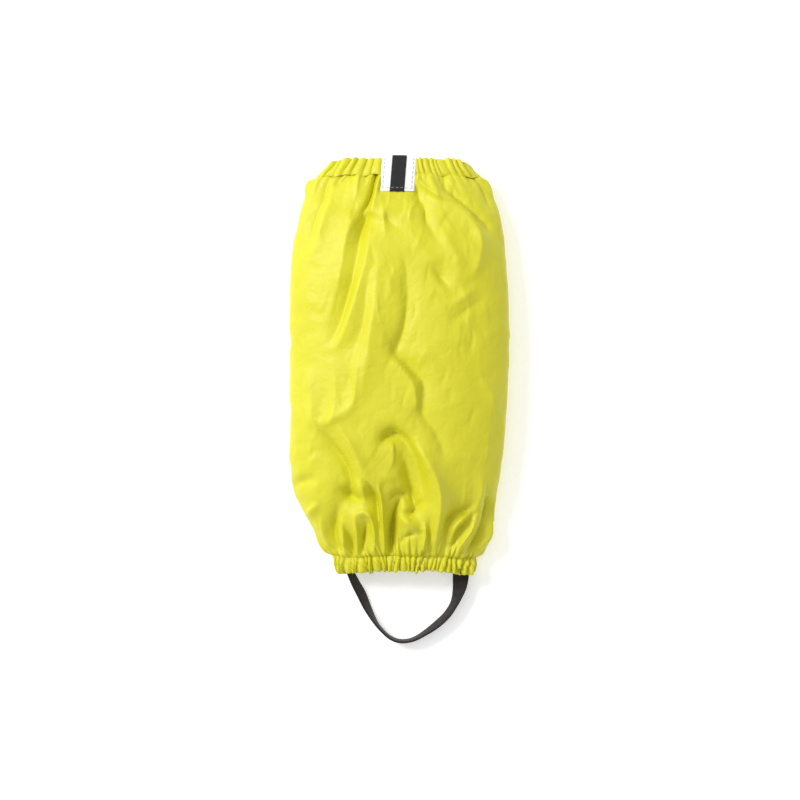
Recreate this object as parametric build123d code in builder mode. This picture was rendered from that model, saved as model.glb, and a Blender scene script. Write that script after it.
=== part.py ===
"""Pull-on gaiter for a hiking boot, lying flat on its back.

One coated fabric tube is gathered by an elastic at each end. A reflective tab is
sewn over the front of the top hem, and an elastic understrap is sewn into the
bottom hem. Millimetres, +Z up. +Y points to the knee end, and the underside of
the fabric lies on Z = 0. The origin is the middle of the footprint.
"""

import os
from math import cos, radians, sin

from build123d import *

os.makedirs("parts", exist_ok=True)

# Leg form: where each station lies, its middle, half its width and its height.
LEG_STATIONS = (
    # y, centre x, half width, height above the floor
    (-119.5, 4.5, 47.0, 22.0),
    (-108.0, 3.0, 52.5, 25.0),
    (-88.0, 1.0, 63.0, 33.0),
    (-58.0, -2.0, 72.0, 42.0),
    (-15.0, -1.0, 75.8, 47.0),
    (40.0, 0.0, 76.6, 48.0),
    (90.0, -0.5, 75.2, 45.0),
    (130.0, -1.0, 69.0, 37.0),
    (155.0, -1.5, 59.0, 25.0),
    (167.5, -1.5, 50.0, 20.0),
)
SINK = 0.2                  # share of the height that the flat underside takes off

FOOT_Y = -119.5             # bottom edge of the bottom hem
KNEE_Y = 167.5              # top edge of the top hem
BOTTOM_HEM = 9.0            # depth of the turned hem at the foot
TOP_HEM = 11.0              # depth of the turned hem at the knee
BOTTOM_SEAM_Y = FOOT_Y + BOTTOM_HEM
TOP_SEAM_Y = KNEE_Y - TOP_HEM

FABRIC = 0.8                # leg wall
HEM = 3.0                   # two layers of fabric and the tunnel between them
HEM_LAYER = 0.7             # one layer of a hem
HEM_EDGE = 1.0              # closed edge of the tunnel
ELASTIC = 1.0               # thickness of the hem elastic
ELASTIC_GAP = 0.3           # clearance round the hem elastic

THREAD = 0.4                # thickness of sewing thread as it lies on a seam
THREAD_LIFT = 0.05          # thread lies this far clear of the fabric
STITCH = 2.2                # length of one visible stitch
STITCH_PITCH = 3.2          # from one stitch to the next
STITCH_FLOOR = 0.6          # hem stitches below this height are left out

TAPE_WIDTH = 25.0           # reflective tape
TAPE = 0.4
RIBBON_WIDTH = 10.0         # woven ribbon sewn down the middle of the tape
RIBBON = 0.5
TAB_X = -1.2                # middle of the tab
TAB_BOTTOM_Y = 145.0        # lower edge of the tape on the front
TAB_TILT = 4.4              # the tab leans this far from square
TAB_LIFT = 0.7              # how far the tape stands off the hem
TAB_TURN = 1.8              # room between the hem's edge and the turn of the tape
TAB_SLACK = 0.6             # room between the hem's inside and the tape
TAB_CORNER = 1.2            # the turn of the tape is cut off this far below its faces
TAB_MARGIN = 2.0            # each row of stitches lies this far inside the tape's edge
TAB_ROW_STITCHES = 7        # across the lower end of the tape
RIBBON_TAIL = 0.7           # the cut end of the ribbon shows below the tape

SEAM_TAPE_WIDTH = 20.0      # sealing tape over the back seam
SEAM_TAPE = 0.3
SEAM_ROW = 3.0              # each row of back stitching lies this far from the seam
SEAM_GROOVE = 1.2           # the stitches sink into the fabric in a groove this wide

STRAP_WIDTH = 11.5          # elastic understrap
STRAP = 1.6
STRAP_GAP = 0.3             # room between strap pieces that move apart
HINGE_Y = FOOT_Y - 2.0      # where the strap bends as it leaves the hem
HINGE_Z = 8.8
STRAP_FLOOR_Y = -148.0      # below this line the strap lies on the floor

BEYOND = 400.0              # more than the whole part is wide, long or high


def leg_form(depth):
    """The leg's outer form taken in by depth all round, with its flat underside."""
    with BuildPart() as form:
        for y, centre, half_width, height in LEG_STATIONS:
            half_height = height * (1 + SINK) / 2
            with BuildSketch(Plane.XZ.offset(-y)):
                with Locations((centre, height - half_height)):
                    Ellipse(half_width - depth, half_height - depth)
        loft()
        split(bisect_by=Plane.XY.offset(depth), keep=Keep.TOP)
    return form.part


def slab(y_from, y_to):
    """Everything between two heights of the leg."""
    with BuildPart() as cut:
        with BuildSketch(Plane.XZ.offset(-y_from)):
            Rectangle(BEYOND, BEYOND)
        extrude(amount=-(y_to - y_from))
    return cut.part


def finish(piece, name):
    """Labels a finished piece and writes its STEP file."""
    piece.part.label = name
    export_step(piece.part, f"parts/{name}.step")


leg_outside = leg_form(0)
leg_inside = leg_form(FABRIC)

# ---- leg panel: the coated fabric between the hems -----------------------------

with BuildPart() as leg_panel:
    add(leg_outside)
    add(leg_inside, mode=Mode.SUBTRACT)
    add(slab(BOTTOM_SEAM_Y, TOP_SEAM_Y), mode=Mode.INTERSECT)
    # grooves of the two rows of back stitching, on the underside
    seam_middle = (BOTTOM_SEAM_Y + TOP_SEAM_Y) / 2
    seam_length = TOP_SEAM_Y - BOTTOM_SEAM_Y - 4 * STITCH_PITCH
    with BuildSketch():
        with Locations((-SEAM_ROW, seam_middle), (SEAM_ROW, seam_middle)):
            Rectangle(SEAM_GROOVE, seam_length)
    extrude(amount=THREAD, mode=Mode.SUBTRACT)
finish(leg_panel, "leg_panel")

# ---- hems: turned-in edges, each with a tunnel for its elastic ----------------------

hem_inside = leg_form(HEM)
tunnel_outside = leg_form(HEM_LAYER)
tunnel_inside = leg_form(HEM - HEM_LAYER)
elastic_outside = leg_form(HEM_LAYER + ELASTIC_GAP)
elastic_inside = leg_form(HEM_LAYER + ELASTIC_GAP + ELASTIC)


def band(outside, inside, y_from, y_to):
    """A band between two leg forms and two heights."""
    with BuildPart() as ring:
        add(outside)
        add(inside, mode=Mode.SUBTRACT)
        add(slab(y_from, y_to), mode=Mode.INTERSECT)
    return ring.part


for end, low, high in (("top", TOP_SEAM_Y, KNEE_Y), ("bottom", FOOT_Y, BOTTOM_SEAM_Y)):
    tunnel = band(tunnel_outside, tunnel_inside, low + HEM_EDGE, high - HEM_EDGE)
    with BuildPart() as hem:
        add(band(leg_outside, hem_inside, low, high))
        add(tunnel, mode=Mode.SUBTRACT)
    finish(hem, f"{end}_hem")

    clear = HEM_EDGE + ELASTIC_GAP
    with BuildPart() as elastic:
        add(band(elastic_outside, elastic_inside, low + clear, high - clear))
    finish(elastic, f"{end}_elastic")

# ---- hem stitching: one row round each hem, above the floor ------------------------

thread_inside = leg_form(-THREAD_LIFT)
thread_outside = leg_form(-THREAD_LIFT - THREAD)

for end, seam_y, inward in (("top", TOP_SEAM_Y, 1), ("bottom", BOTTOM_SEAM_Y, -1)):
    row_y = seam_y + inward * HEM_EDGE / 2
    with BuildPart() as stitching:
        add(band(thread_outside, thread_inside, row_y - THREAD / 2, row_y + THREAD / 2))
        split(bisect_by=Plane.XY.offset(STITCH_FLOOR), keep=Keep.TOP)
    finish(stitching, f"{end}_hem_stitching")

# ---- back seam: sealing tape inside, two rows of stitches outside ---------------

with BuildPart() as back_seam_tape:
    with BuildSketch(Plane.XY.offset(FABRIC + THREAD_LIFT)):
        with Locations((0, seam_middle)):
            Rectangle(SEAM_TAPE_WIDTH, seam_length)
    extrude(amount=SEAM_TAPE)
finish(back_seam_tape, "back_seam_tape")

with BuildPart() as back_seam_stitching:
    stitch_count = int(seam_length / STITCH_PITCH) - 1
    with BuildSketch(Plane.XY.offset(THREAD_LIFT)):
        with Locations((0, seam_middle)):
            with GridLocations(2 * SEAM_ROW, STITCH_PITCH, 2, stitch_count):
                SlotOverall(STITCH, THREAD, rotation=90)
    extrude(amount=THREAD / 2)
finish(back_seam_stitching, "back_seam_stitching")

# ---- tab: reflective tape and ribbon folded over the front of the top hem -----------

def crest(y):
    """How high the front of the leg stands above the floor at a height of the leg."""
    return section(leg_outside, section_by=Plane.XZ.offset(-y)).bounding_box().max.Z


TAB_EDGE_Y = KNEE_Y - 0.5   # where the tape starts its turn over the hem
TAB_INNER_Y = TOP_SEAM_Y + 1.0
TAB_BENDS = (TAB_BOTTOM_Y, 149.0, 153.0, TOP_SEAM_Y, 160.0, 164.0, TAB_EDGE_Y)
TAB_FRONT = [(y, crest(y)) for y in TAB_BENDS]
TAB_INSIDE = [(y, crest(y) - HEM - TAB_SLACK) for y in (TAB_EDGE_Y, TAB_INNER_Y)]


def tab_line(gap, bottom_y):
    """The line of the folded tab in side view, at a distance from the hem's faces."""
    front = [(max(y, bottom_y), z + gap) for y, z in TAB_FRONT]
    inside = [(y, z - gap) for y, z in TAB_INSIDE]
    turn_y = KNEE_Y + TAB_TURN + gap
    turn = [(turn_y, front[-1][1] - TAB_CORNER), (turn_y, inside[0][1] + TAB_CORNER)]
    return front + turn + inside


def tab_layer(gap, thickness, width, bottom_y=TAB_BOTTOM_Y):
    """A folded strip: down the front, over the hem's edge and back inside it."""
    inner = tab_line(gap, bottom_y)
    outer = tab_line(gap + thickness, bottom_y)
    with BuildPart() as strip:
        with BuildSketch(Plane.YZ.offset(TAB_X - width / 2)):
            with BuildLine():
                Polyline(*inner, *reversed(outer), close=True)
            make_face()
        extrude(amount=width)
    return strip.part.rotate(TAB_AXIS, -TAB_TILT)


TAB_AXIS = Axis((TAB_X, (TAB_BOTTOM_Y + KNEE_Y) / 2, 0), (0, 0, 1))

with BuildPart() as reflective_tape:
    add(tab_layer(TAB_LIFT, TAPE, TAPE_WIDTH))
finish(reflective_tape, "reflective_tape")

with BuildPart() as tab_ribbon:
    add(tab_layer(TAB_LIFT + TAPE, RIBBON, RIBBON_WIDTH, TAB_BOTTOM_Y - RIBBON_TAIL))
finish(tab_ribbon, "tab_ribbon")

# The stitches lie on the tape down both sides and along the bottom, and cross the
# ribbon on top of it.
edge_x = TAPE_WIDTH / 2 - TAB_MARGIN
side_count = int((KNEE_Y - TAB_BOTTOM_Y - 2 * TAB_MARGIN) / STITCH_PITCH)
side_y = TAB_BOTTOM_Y + TAB_MARGIN + side_count * STITCH_PITCH / 2
row_y = TAB_BOTTOM_Y + TAB_MARGIN

with BuildPart() as stitch_posts:
    with BuildSketch():
        with Locations((TAB_X - edge_x, side_y), (TAB_X + edge_x, side_y)):
            with GridLocations(STITCH_PITCH, STITCH_PITCH, 1, side_count):
                SlotOverall(STITCH, THREAD, rotation=90)
        with Locations((TAB_X, row_y)):
            with GridLocations(STITCH_PITCH, STITCH_PITCH, TAB_ROW_STITCHES, 1):
                SlotOverall(STITCH, THREAD)
    extrude(amount=BEYOND)
posts = stitch_posts.part.rotate(TAB_AXIS, -TAB_TILT)
over_ribbon = tab_layer(TAB_LIFT + TAPE + RIBBON, THREAD / 2, RIBBON_WIDTH)
over_tape = tab_layer(TAB_LIFT + TAPE, THREAD / 2, TAPE_WIDTH)
over_tape -= tab_layer(0, HEM, RIBBON_WIDTH + THREAD)

with BuildPart() as tab_stitching:
    add(over_tape)
    add(over_ribbon)
    add(posts, mode=Mode.INTERSECT)
finish(tab_stitching, "tab_stitching")

# ---- understrap: a flat elastic that twists onto its edge and loops under the boot -----

# The strap's middle line and how far its flat side is turned up on edge. Its outer
# edge is the raised one all the way round.
STRAP_LEFT = (
    # x, y, tilt
    (-34.5, -121.5, 68),
    (-31.7, -128.5, 64),
    (-27.0, -137.5, 60),
    (-22.8, -147.0, 68),
    (-17.2, -157.2, 82),
)
STRAP_SOLE = (
    (-17.2, -157.2, 82),
    (-12.5, -163.0, 86),
    (-7.0, -167.8, 86),
    (-1.0, -170.2, 86),
    (5.2, -170.2, 86),
    (10.7, -168.6, 84),
    (17.0, -165.0, 80),
)
STRAP_RIGHT = (
    (17.0, -165.0, 80),
    (25.0, -159.4, 72),
    (33.0, -152.0, 70),
    (38.4, -143.5, 66),
    (41.6, -134.0, 42),
    (42.6, -127.5, 20),
    (42.8, -121.5, 8),
)


def strap_height(y, tilt):
    """Height of the strap's middle: its low edge is down, and rises to the hinge."""
    on_edge = STRAP_WIDTH / 2 * sin(radians(tilt)) + STRAP / 2 * cos(radians(tilt))
    rise = min(1.0, max(0.0, (y - STRAP_FLOOR_Y) / (HINGE_Y - STRAP_FLOOR_Y)))
    return on_edge + max(0.0, HINGE_Z - on_edge) * rise


def strap_section(before, here, after):
    """The plane across the strap at one point of its middle line."""
    x, y, tilt = here
    run = Vector(after[0] - before[0], after[1] - before[1], 0).normalized()
    outward = run.cross(Vector(0, 0, 1))
    across = outward * cos(radians(tilt)) + Vector(0, 0, sin(radians(tilt)))
    return Plane(origin=(x, y, strap_height(y, tilt)), x_dir=across, z_dir=run)


def strap_length(points, start_gap=0.0, end_gap=0.0):
    """A ruled length of the strap through its points, cut short or let run on."""
    befores = (points[0],) + points[:-1]
    afters = points[1:] + (points[-1],)
    planes = [strap_section(*near) for near in zip(befores, points, afters)]
    planes[0] = planes[0].offset(start_gap)
    planes[-1] = planes[-1].offset(-end_gap)
    with BuildPart() as length:
        for plane in planes:
            with BuildSketch(plane):
                Rectangle(STRAP_WIDTH, STRAP)
        loft(ruled=True)
    return length.part


# Legs and sewn ends run past the hinge line and are cut square on either side of it.
PAST_HINGE = 4.0
LEG_CUT = Plane.XZ.offset(STRAP_GAP / 2 - HINGE_Y)
END_CUT = Plane.XZ.offset(-STRAP_GAP / 2 - HINGE_Y)

with BuildPart() as strap_leg_left:
    add(strap_length(STRAP_LEFT, start_gap=-PAST_HINGE, end_gap=STRAP_GAP))
    split(bisect_by=LEG_CUT, keep=Keep.TOP)
finish(strap_leg_left, "strap_leg_left")

with BuildPart() as strap_sole:
    add(strap_length(STRAP_SOLE))
finish(strap_sole, "strap_sole")

with BuildPart() as strap_leg_right:
    add(strap_length(STRAP_RIGHT, start_gap=STRAP_GAP, end_gap=-PAST_HINGE))
    split(bisect_by=LEG_CUT, keep=Keep.TOP)
finish(strap_leg_right, "strap_leg_right")

# ---- sewn ends of the strap inside the bottom hem, each held by a bartack ------------

END_LEFT = (
    # x, y, tilt
    (-31.0, -107.5, 16),
    (-31.6, -113.0, 20),
    (-31.0, -119.0, 28),
    (-34.5, -121.5, 68),
)
END_RIGHT = (
    (42.8, -121.5, 8),
    (42.0, -117.5, 5),
    (41.6, -107.5, 2),
)

with BuildPart() as strap_end_left:
    add(strap_length(END_LEFT, end_gap=-PAST_HINGE))
    split(bisect_by=END_CUT, keep=Keep.BOTTOM)
finish(strap_end_left, "strap_end_left")

with BuildPart() as strap_end_right:
    add(strap_length(END_RIGHT, start_gap=-PAST_HINGE))
    split(bisect_by=END_CUT, keep=Keep.BOTTOM)
finish(strap_end_right, "strap_end_right")

# Each bartack goes through the strap's end and the front layer of the hem.
BARTACK_Y = FOOT_Y + 6.0
BARTACK_WIDTH = 1.6
BARTACKS = (
    # side, x, length, bottom z, top z
    ("left", -35.0, 5.0, 10.2, 15.2),
    ("right", 42.8, 8.0, 9.4, 14.2),
)

for side, x, length, low_z, high_z in BARTACKS:
    with BuildPart() as bartack:
        with BuildSketch(Plane.XY.offset(low_z)):
            with Locations((x, BARTACK_Y)):
                SlotOverall(length, BARTACK_WIDTH)
        extrude(amount=high_z - low_z)
    finish(bartack, f"bartack_{side}")
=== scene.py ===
"""Pull-on gaiter for a hiking boot, lying flat on its back: the looks built round its CAD frame.

One coated fabric tube is gathered by an elastic in a turned hem at each end. A reflective
tab is sewn over the front of the top hem, and an elastic understrap is sewn into the bottom
hem. Places in the tables are millimetres in the part's own frame; meshes are metres.
"""

from math import pi, radians

import bpy
import numpy as np
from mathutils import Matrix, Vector


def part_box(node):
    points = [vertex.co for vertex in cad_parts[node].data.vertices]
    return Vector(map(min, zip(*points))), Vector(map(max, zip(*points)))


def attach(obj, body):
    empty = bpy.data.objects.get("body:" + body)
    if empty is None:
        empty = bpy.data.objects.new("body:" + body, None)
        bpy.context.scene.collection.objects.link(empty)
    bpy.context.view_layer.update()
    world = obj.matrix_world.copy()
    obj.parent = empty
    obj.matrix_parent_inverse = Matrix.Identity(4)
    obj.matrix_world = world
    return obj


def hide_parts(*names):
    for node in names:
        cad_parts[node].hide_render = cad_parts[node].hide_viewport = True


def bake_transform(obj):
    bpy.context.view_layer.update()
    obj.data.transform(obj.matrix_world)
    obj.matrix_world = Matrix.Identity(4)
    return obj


MM = 0.001

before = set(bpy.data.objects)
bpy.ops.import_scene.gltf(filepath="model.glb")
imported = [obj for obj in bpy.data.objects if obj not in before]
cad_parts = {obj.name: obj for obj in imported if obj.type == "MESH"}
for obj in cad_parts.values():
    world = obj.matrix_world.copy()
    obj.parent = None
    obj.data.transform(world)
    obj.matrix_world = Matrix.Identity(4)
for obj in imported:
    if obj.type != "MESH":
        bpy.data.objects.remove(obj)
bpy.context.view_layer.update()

# ---- driving sizes, millimetres ----------------------------------------------------

foot_hem, knee_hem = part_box("bottom_hem"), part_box("top_hem")
FOOT_Y = foot_hem[0].y / MM         # bottom edge of the bottom hem
BOTTOM_SEAM_Y = foot_hem[1].y / MM
TOP_SEAM_Y = knee_hem[0].y / MM
KNEE_Y = knee_hem[1].y / MM         # top edge of the top hem

CUT_WIDTH = 350.0                   # the panel's flat width, which goes round the leg
CUT_LENGTH = 283.0                  # the panel's flat length between the two hem seams
HEM_CUTS = {"top": 26.0, "bottom": 22.0}    # flat depth of each hem, both layers
FABRIC = 0.32                       # coated polyester
SINK = 0.2                          # share of the height that the flat underside takes off
RESTS = 0.05                        # nothing of the leg reaches lower than this
ROUND_STEPS = 1441                  # places round the leg at which its form is worked out

COLUMNS = 344                       # of the leg panel's mesh, round the leg
FRONT_DETAIL = 0.4                  # they lie this much closer together on its front
ROWS = 142                          # along the leg
TUCK = 2.0                          # how far the panel reaches in under each hem
HEM_COLUMNS = 1152                  # the hems are gathered finely, so their mesh is finer
HEM_ROWS = 24

THREAD = 0.4
STITCH = 2.2
STITCH_PITCH = 3.2

# The leg lying flat: its outline on the left and right, and how high its front stands.
LEG_OUTLINE = (
    # y, left x, right x, height
    (-124.0, -41.0, 50.0, 21.0),
    (-118.5, -42.6, 51.4, 22.0),
    (-111.0, -46.9, 52.6, 24.0),
    (-106.0, -51.3, 55.6, 26.0),
    (-98.4, -57.3, 60.2, 29.5),
    (-90.0, -61.7, 63.6, 33.0),
    (-81.6, -65.9, 65.9, 36.0),
    (-73.0, -70.0, 67.3, 38.5),
    (-66.0, -73.0, 67.8, 40.5),
    (-59.5, -75.0, 69.0, 42.0),
    (-46.0, -76.5, 71.3, 44.0),
    (-22.0, -77.0, 73.6, 46.5),
    (11.0, -77.0, 75.6, 47.8),
    (45.0, -77.0, 76.3, 48.0),
    (78.0, -77.0, 75.6, 46.5),
    (98.0, -76.0, 74.0, 44.0),
    (116.0, -73.6, 72.7, 40.5),
    (132.7, -69.6, 69.3, 36.0),
    (145.0, -65.9, 64.4, 30.5),
    (153.7, -61.9, 58.9, 26.0),
    (158.5, -57.8, 55.0, 24.0),
    (163.0, -53.4, 51.6, 22.0),
    (168.0, -49.5, 49.6, 20.0),
    (174.0, -48.0, 48.4, 19.0),
)


def smooth_table(table, at):
    """Values of a table at places along its first column, on smooth curves."""
    rows = np.array(table, float)
    x, y = rows[:, 0], rows[:, 1:]
    slope = np.gradient(y, x, axis=0)
    i = np.clip(np.searchsorted(x, at) - 1, 0, len(x) - 2)
    width = (x[i + 1] - x[i])[..., None]
    t = np.clip((at - x[i])[..., None] / width, 0, 1)
    return (
        (2 * t**3 - 3 * t**2 + 1) * y[i]
        + (t**3 - 2 * t**2 + t) * width * slope[i]
        + (3 * t**2 - 2 * t**3) * y[i + 1]
        + (t**3 - t**2) * width * slope[i + 1]
    )


def smoothstep(low, high, x):
    """0 below low, 1 above high, and smooth between."""
    t = np.clip((x - low) / (high - low), 0, 1)
    return t * t * (3 - 2 * t)


def smooth_curve(points, steps):
    """A smooth curve through a few points, with that many steps between each two."""
    p = np.array(points, float)
    table = np.column_stack([np.arange(len(p)), p])
    return smooth_table(table, np.linspace(0, len(p) - 1, (len(p) - 1) * steps + 1))


# ---- the form of the leg ---------------------------------------------------------------

LIFTS_OFF = 2.5                     # the underside curves up off the surface up to this height
DROOP = 5.6                         # how far the top hem's edge droops at its two sides


def leg_form(heights, shares):
    """The plain tube: rows at heights of the leg, each of points at shares of the way round,
    from the back's middle by the right. Gives points and outward directions."""
    angle = np.linspace(-pi / 2, 3 * pi / 2, ROUND_STEPS)
    points = np.zeros((len(heights), len(shares), 3))
    outward = np.zeros_like(points)
    for row, y in enumerate(heights):
        left, right, height = smooth_table(LEG_OUTLINE, np.array([y]))[0]
        half, half_height = (right - left) / 2, height * (1 + SINK) / 2
        x = (left + right) / 2 + half * np.cos(angle)
        z = np.maximum(height - half_height + half_height * np.sin(angle), 0)
        length = np.concatenate([[0], np.cumsum(np.hypot(np.diff(x), np.diff(z)))])
        at = shares * length[-1]
        turn = np.interp(at, length, angle)
        points[row, :, 0] = np.interp(at, length, x)
        points[row, :, 1] = y
        points[row, :, 2] = np.interp(at, length, z)
        lifted = smoothstep(0, LIFTS_OFF, points[row, :, 2])
        out_x, out_z = np.cos(turn) / half * lifted, np.sin(turn) / half_height
        out_z = np.where(points[row, :, 2] < 1e-6, -1 / half_height, out_z)
        size = np.hypot(out_x, out_z)
        outward[row, :, 0], outward[row, :, 2] = out_x / size, out_z / size
    return points, outward


def side_slope(points, top, share=0.0):
    """How far each hem point moves along the leg: the hem's ends droop at its two sides, most
    of all at its edge, and the elastic pulls its seam about."""
    left, right = smooth_table(LEG_OUTLINE, np.array([TOP_SEAM_Y if top else FOOT_Y]))[0][:2]
    across = np.abs(points[..., 0] - (left + right) / 2) / ((right - left) / 2)
    if top:
        wander = 0.45 * np.sin(points[..., 0] / 2.9 + 1) + 0.35 * np.sin(points[..., 0] / 1.7)
        droop = -DROOP * smoothstep(0.62, 1.06, across) * (0.25 + 0.75 * share)
        return droop + 0.6 + wander * (1 - 0.6 * share) * (1 - under_tab(points))
    lean = np.where(points[..., 0] < 0, 1.6, 0.4)
    return lean * smoothstep(0.86, 1.05, across) - 1.6 * smoothstep(0.45, 0.85, across) + 1.2


# ---- ruffles: the fabric that the elastic gathers up --------------------------------------

SHARPNESS = 0.65                    # of their section: under 1, valleys are sharper than crests
RUFFLE_REACH = (3.2, 10.0)          # a ruffle dies away over 3.2 mm, and some over 10 mm more
UNEVEN = 0.42                       # share of their pitch by which the valleys stray

# Valleys between the ruffles of the top hem's front, where they cross it.
TOP_VALLEYS_X = (-48.5, -43.0, -37.2, -31.5, -24.0, -18.2, -10.0, 0.0, 8.0)
TOP_VALLEYS_X += (13.6, 17.0, 21.5, 24.6, 28.5, 33.3, 38.2, 43.0, 47.6)


def ring_share(y, places_x):
    """Where places across the front lie as shares of the way round, at a height of the leg."""
    shares = np.linspace(0.25, 0.75, 200)
    across = leg_form([y], shares)[0][0, :, 0]
    order = np.argsort(across)
    return np.interp(places_x, across[order], shares[order])


class Ruffles:
    """Ruffles round one hem: valleys at shares of the way round, each with its own slant,
    and a bulge of its own height between each two."""

    def __init__(self, shares, slant, height, seed):
        rng = np.random.default_rng(seed)
        count = len(shares)
        self.shares = np.sort(shares)
        self.slant = slant / 1000 * rng.uniform(-0.1, 1.7, count)
        self.height = height * rng.uniform(0.45, 1.45, count)
        self.reach = rng.uniform(0.0, 1.0, count) ** 2
        self.skew = rng.uniform(-0.12, 0.12, count)

    def rise(self, shares, along, reach=None):
        """Height of the ruffles, in a row that is this far along the slant. With reach,
        the ruffles that don't reach that far have died away."""
        valleys = self.shares + self.slant * along
        order = np.argsort(valleys)
        valleys, height, skew = valleys[order], self.height[order], self.skew[order]
        if reach is not None:
            shortest, more = RUFFLE_REACH
            height = height * np.exp(-reach / (shortest + more * self.reach[order]))
        padded = np.concatenate([[valleys[-1] - 1], valleys, [valleys[0] + 1]])
        i = np.clip(np.searchsorted(padded, shares % 1.0) - 1, 0, len(valleys))
        t = (shares % 1.0 - padded[i]) / np.maximum(padded[i + 1] - padded[i], 1e-9)
        i = (i - 1) % len(valleys)
        t = np.clip(t, 0, 1) ** (1 + skew[i])
        return height[i] * np.sin(pi * t) ** SHARPNESS


def spaced_shares(low, high, pitch_share, seed):
    """Uneven shares from low to high, about a pitch apart."""
    rng = np.random.default_rng(seed)
    count = max(2, int(round((high - low) / pitch_share)))
    even = np.linspace(low, high, count, endpoint=False) + pitch_share / 2
    return even + rng.uniform(-UNEVEN, UNEVEN, count) * pitch_share


TOP_PITCH = 0.019                   # of the top ruffles behind, as a share of the way round
top_front = ring_share(TOP_SEAM_Y + 5, np.array(TOP_VALLEYS_X))
top_shares = np.concatenate([
    top_front,
    spaced_shares(0.0, top_front.min() - 0.012, TOP_PITCH, 11),
    spaced_shares(top_front.max() + 0.012, 1.0, TOP_PITCH, 12),
])
RUFFLES = {
    "top": Ruffles(top_shares, slant=7.0, height=2.1, seed=21),
    "bottom": Ruffles(spaced_shares(0, 1, 1 / 66, 13), slant=16.0, height=3.1, seed=22),
}
# The bottom hem's ruffles are crossed by fewer and lower ones that lean the other way.
CROSSING = Ruffles(spaced_shares(0, 1, 1 / 47, 14), slant=-30.0, height=1.7, seed=23)

TAB_X = -1.2
TAB_WIDTH = 24.2
TAB_LEAN = 0.075                    # its lower end lies this much to the left per length
FRONT_Z = 9.0                       # all of both hems' front stands higher than this


def under_tab(points):
    """1 where the tab presses the front of the top hem flat."""
    across = np.abs(points[..., 0] - TAB_X - TAB_LEAN * (points[..., 1] - 157))
    front = points[..., 2] > FRONT_Z
    near = smoothstep(TAB_WIDTH / 2 + 1.8, TAB_WIDTH / 2 - 1.2, across)
    return near * front * smoothstep(141, 146, points[..., 1])


# ---- folds of the leg's front ---------------------------------------------------------------

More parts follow.
